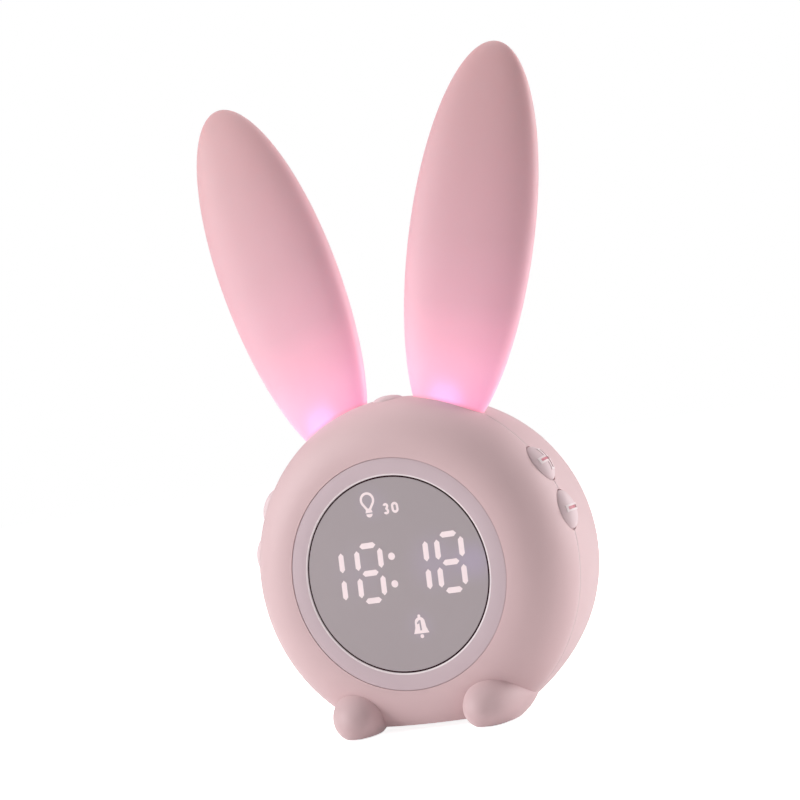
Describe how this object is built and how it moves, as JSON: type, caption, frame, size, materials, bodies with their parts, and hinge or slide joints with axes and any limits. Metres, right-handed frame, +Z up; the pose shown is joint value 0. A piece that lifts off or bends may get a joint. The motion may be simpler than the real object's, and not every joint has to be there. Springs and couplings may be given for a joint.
{
  "type": "alarm clock",
  "caption": "Round bedside alarm clock with a lit digital face, two tall translucent glowing ears, small front feet and push buttons on the seam.",
  "frame": {"origin": "on the table, under the middle of the clock's width and depth", "axes": "+X to the right of the face, +Y to the back, +Z up; the face looks along -Y"},
  "size_m": [0.114, 0.0741, 0.1964],
  "materials": {
    "shell_pink": "soft-touch moulded plastic, satin",
    "ring_pink": "satin moulded plastic",
    "mirror_lens": "smoked half-mirror polycarbonate, satin",
    "gasket_dark": "matt foam",
    "lit_white": "diffusing clear resin, lit from behind",
    "mask_black": "matt moulded plastic",
    "board_green": "solder resist",
    "lamp_white": "lamp resin",
    "chip_black": "moulded epoxy",
    "screw_steel": "zinc plated",
    "ear_silicone": "translucent silicone, satin",
    "collar_white": "moulded plastic",
    "foot_pink": "soft-touch moulded plastic, satin",
    "pad_rubber": "matt rubber",
    "button_pink": "soft-touch, satin",
    "mark_red": "matt ink fill",
    "plunger_white": "moulded plastic",
    "switch_black": "moulded plastic",
    "speaker_black": "moulded plastic",
    "cone_paper": "pressed paper",
    "magnet_steel": "plated cup",
    "tray_black": "moulded plastic",
    "cell_wrap": "foil pouch",
    "socket_steel": "plated"
  },
  "bodies": {
    "clock": {"front_shell": "shell_pink", "rear_shell": "shell_pink", "bezel_ring": "ring_pink", "display_lens": "mirror_lens", "lens_gasket": "gasket_dark", "display_segments": "lit_white", "display_icons": "lit_white", "segment_mask": "mask_black", "main_board": "board_green", "display_leds": "lamp_white", "main_board_chips": "chip_black", "main_board_screws": "screw_steel", "case_screws": "screw_steel", "left_ear": "ear_silicone", "right_ear": "ear_silicone", "left_ear_collar": "collar_white", "right_ear_collar": "collar_white", "left_ear_lamp_board": "board_green", "right_ear_lamp_board": "board_green", "left_ear_lamp": "lamp_white", "right_ear_lamp": "lamp_white", "left_foot": "foot_pink", "right_foot": "foot_pink", "foot_screws": "screw_steel", "foot_pads": "pad_rubber", "rear_pad": "pad_rubber", "right_switch_boards": "board_green", "left_switch_boards": "board_green", "top_switch_board": "board_green", "right_switches": "switch_black", "left_switches": "switch_black", "top_switch": "switch_black", "speaker_frame": "speaker_black", "speaker_cone": "cone_paper", "speaker_magnet": "magnet_steel", "speaker_screws": "screw_steel", "battery_tray": "tray_black", "battery_cell": "cell_wrap", "charge_board": "board_green", "charge_socket": "socket_steel"},
    "plus_key": {"plus_button": "button_pink", "plus_plunger": "plunger_white", "plus_mark": "mark_red"},
    "minus_key": {"minus_button": "button_pink", "minus_plunger": "plunger_white", "minus_mark": "mark_red"},
    "alarm_key": {"alarm_button": "button_pink", "alarm_plunger": "plunger_white", "alarm_mark": "mark_red"},
    "set_key": {"set_button": "button_pink", "set_plunger": "plunger_white", "set_mark": "mark_red"},
    "top_key": {"top_button": "button_pink", "top_plunger": "plunger_white"}
  },
  "joints": [
    {"name": "plus_press", "type": "slide", "parent": "clock", "child": "plus_key", "axis": [-0.866, 0, -0.5], "range_m": [0, 0.0006], "stiffness_N_per_m": 2500, "springref_m": -0.0002},
    {"name": "minus_press", "type": "slide", "parent": "clock", "child": "minus_key", "axis": [-0.9744, 0, -0.225], "range_m": [0, 0.0006], "stiffness_N_per_m": 2500, "springref_m": -0.0002},
    {"name": "alarm_press", "type": "slide", "parent": "clock", "child": "alarm_key", "axis": [0.866, 0, -0.5], "range_m": [0, 0.0006], "stiffness_N_per_m": 2500, "springref_m": -0.0002},
    {"name": "set_press", "type": "slide", "parent": "clock", "child": "set_key", "axis": [0.9744, 0, -0.225], "range_m": [0, 0.0006], "stiffness_N_per_m": 2500, "springref_m": -0.0002},
    {"name": "top_press", "type": "slide", "parent": "clock", "child": "top_key", "axis": [0, 0, -1], "range_m": [0, 0.0006], "stiffness_N_per_m": 2500, "springref_m": -0.0002}
  ]
}
